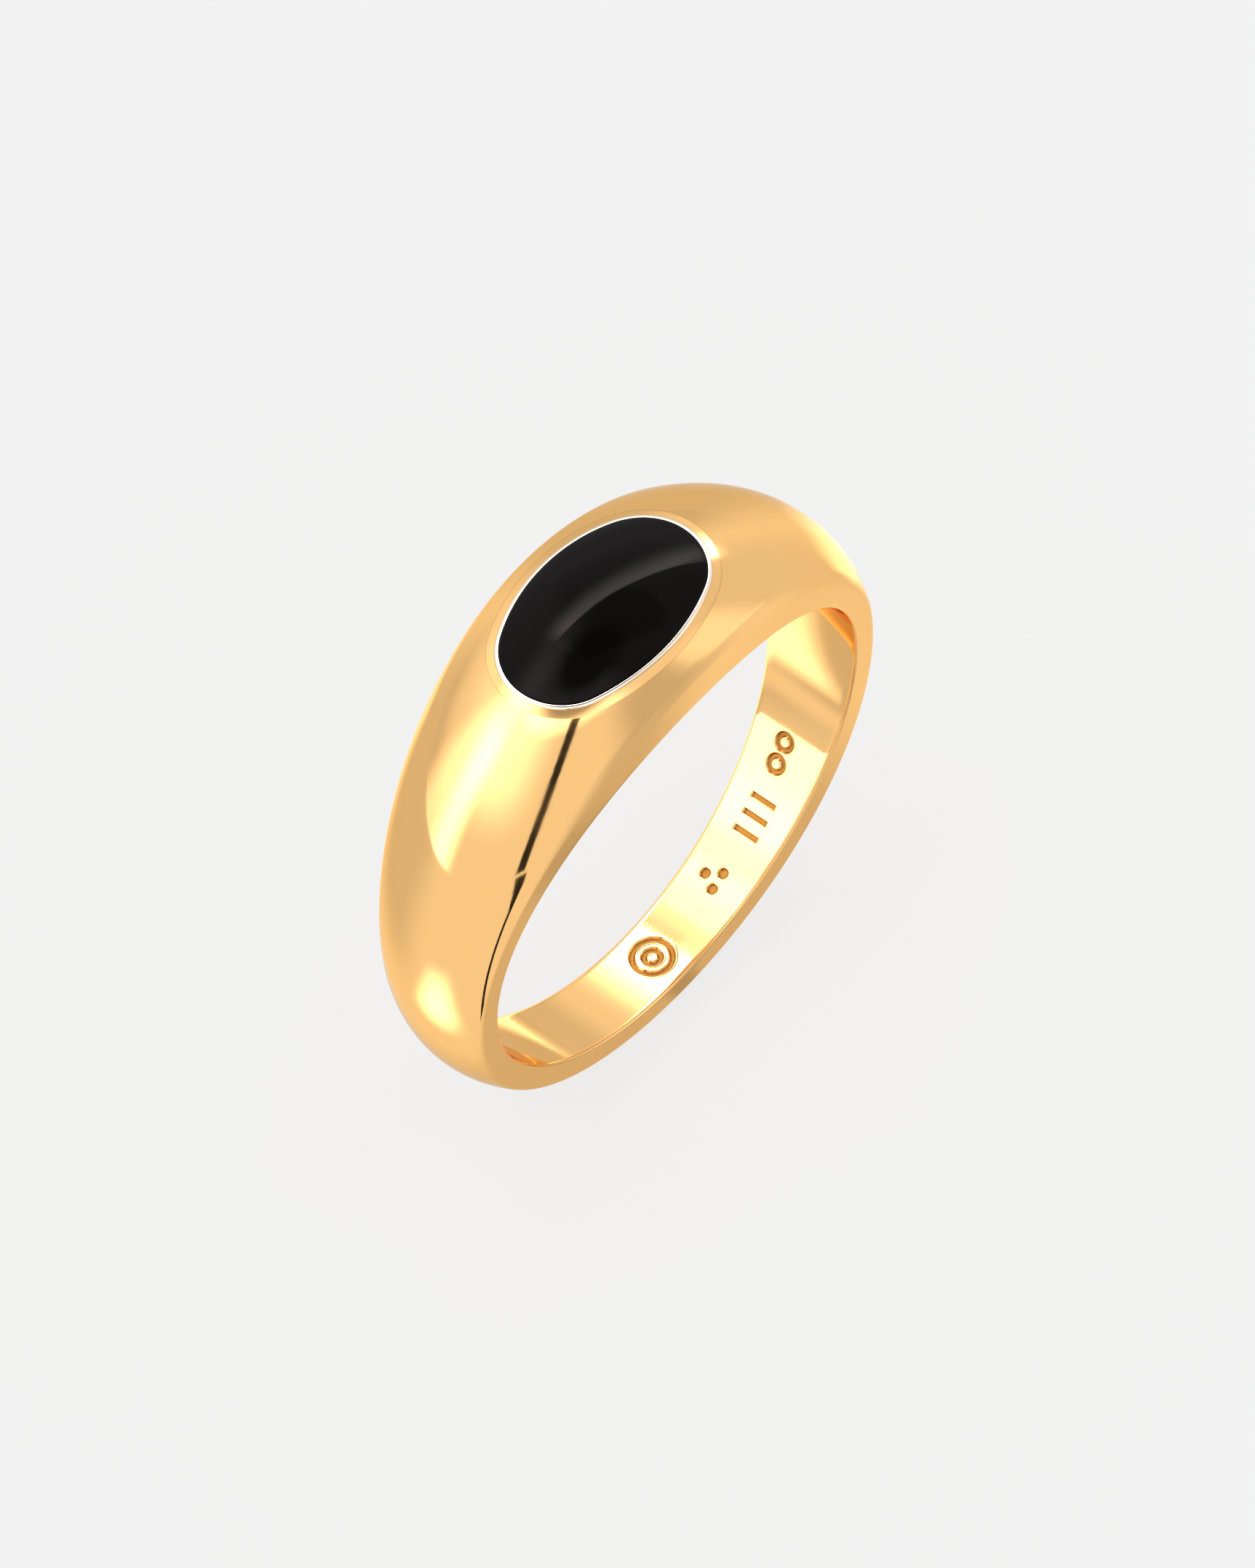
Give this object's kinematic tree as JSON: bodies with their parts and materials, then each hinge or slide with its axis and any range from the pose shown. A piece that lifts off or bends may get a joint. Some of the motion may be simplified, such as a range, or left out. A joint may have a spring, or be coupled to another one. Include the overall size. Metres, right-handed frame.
{
  "type": "signet ring",
  "caption": "Domed signet ring: one cast gold-plated silver ring whose wide head tapers to a narrow shank, with an oval black stone set flush in the crown.",
  "frame": {"origin": "centre of the finger bore", "axes": "+Y along the finger axis, +Z from the bore towards the middle of the stone, X across the ring along the stone's long axis"},
  "size_m": [0.0214, 0.0074, 0.0222],
  "materials": {
    "gold_plated_silver": "polished gold plating over cast silver",
    "black_stone": "polished black stone",
    "clear_cement": "cured adhesive"
  },
  "bodies": {
    "root": {"ring_body": "gold_plated_silver", "black_inlay": "black_stone", "inlay_cement": "clear_cement"}
  },
  "joints": []
}
